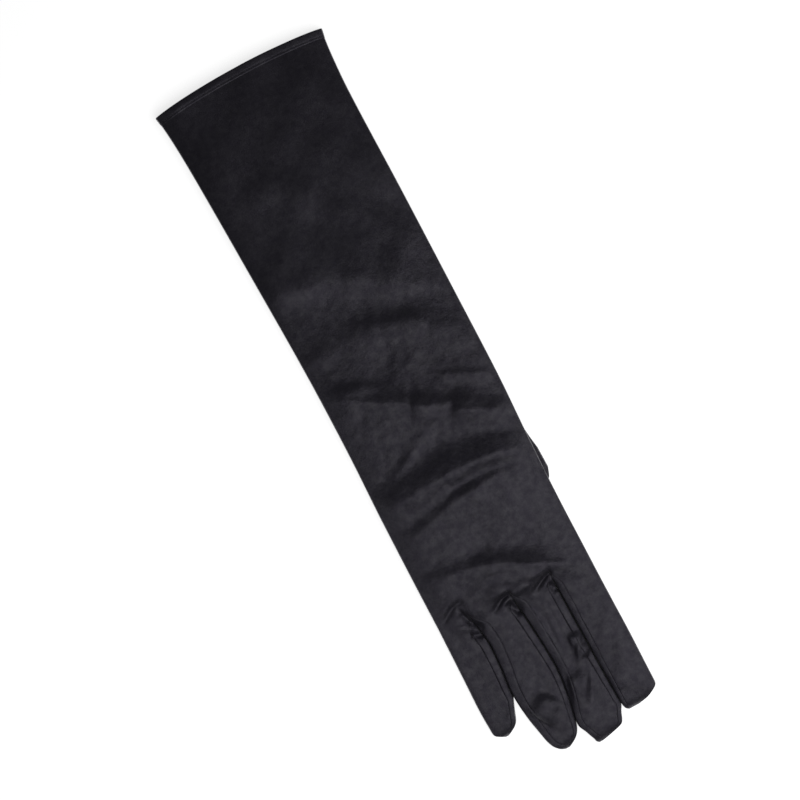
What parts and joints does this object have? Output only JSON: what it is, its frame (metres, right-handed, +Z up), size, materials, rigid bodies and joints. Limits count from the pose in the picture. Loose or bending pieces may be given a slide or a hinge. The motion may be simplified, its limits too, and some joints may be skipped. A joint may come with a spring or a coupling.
{
  "type": "long dress glove",
  "caption": "Long satin dress glove for the right hand, lying flat with the back of the hand up and the thumb folded under the palm.",
  "frame": {"origin": "on the surface the glove lies on, under the middle of its bounding box", "axes": "+Y from the cuff to the fingertips, +X towards the little finger, +Z up, out of the back of the hand"},
  "size_m": [0.094, 0.3834, 0.015],
  "materials": {
    "satin": "soft sheen",
    "strip": "soft sheen"
  },
  "bodies": {
    "root": {"sleeve": "satin", "hand": "satin", "finger_index": "satin", "finger_middle": "satin", "finger_ring": "satin", "finger_little": "satin", "thumb": "satin", "cuff_hem": "satin", "fourchette_index_middle": "strip", "fourchette_middle_ring": "strip", "fourchette_ring_little": "strip"}
  },
  "joints": []
}
